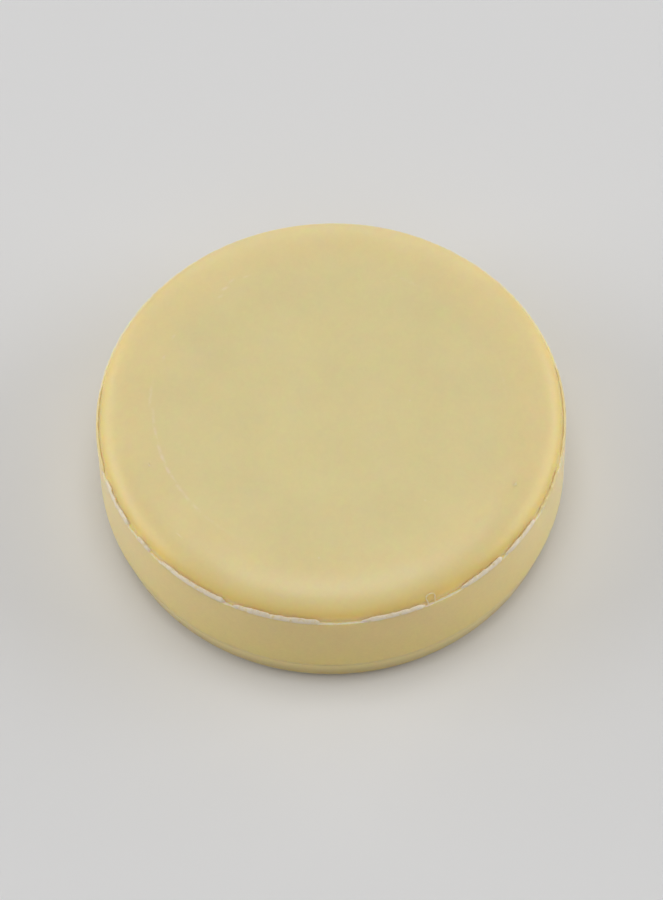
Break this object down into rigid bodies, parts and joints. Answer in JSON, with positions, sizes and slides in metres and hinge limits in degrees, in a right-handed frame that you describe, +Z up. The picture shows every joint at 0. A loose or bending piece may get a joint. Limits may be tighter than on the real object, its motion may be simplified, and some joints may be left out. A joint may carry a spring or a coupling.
{
  "type": "shaving soap puck",
  "caption": "Round pressed cake of hard shaving soap: flat top, soft shoulder, near-straight side, short foot, and ragged flash along its seams.",
  "frame": {"origin": "centre of the flat base face that the cake stands on", "axes": "+Z up through the cake's axis, towards the flat top; -Y towards the side that carries the loose curl, seen as the front; +X to the right of that view"},
  "size_m": [0.0732, 0.0732, 0.0224],
  "materials": {
    "soap": "satin, slightly waxy and translucent, with a finer matt grain on the band",
    "flash": "matt, dry and whitish",
    "shavings": "matt, dry and whitish"
  },
  "bodies": {
    "root": {"soap_cake": "soap", "foot_flash": "flash", "curl": "shavings", "flash_right_rear": "flash", "flash_right_side": "flash", "flash_right": "flash", "flash_right_front": "flash", "flash_front_right": "flash", "flash_front_left": "flash", "flash_left_front": "flash", "flash_left_chip": "flash", "flash_left": "flash", "flash_left_side": "flash", "flake_left": "shavings", "flake_right": "shavings"}
  },
  "joints": []
}
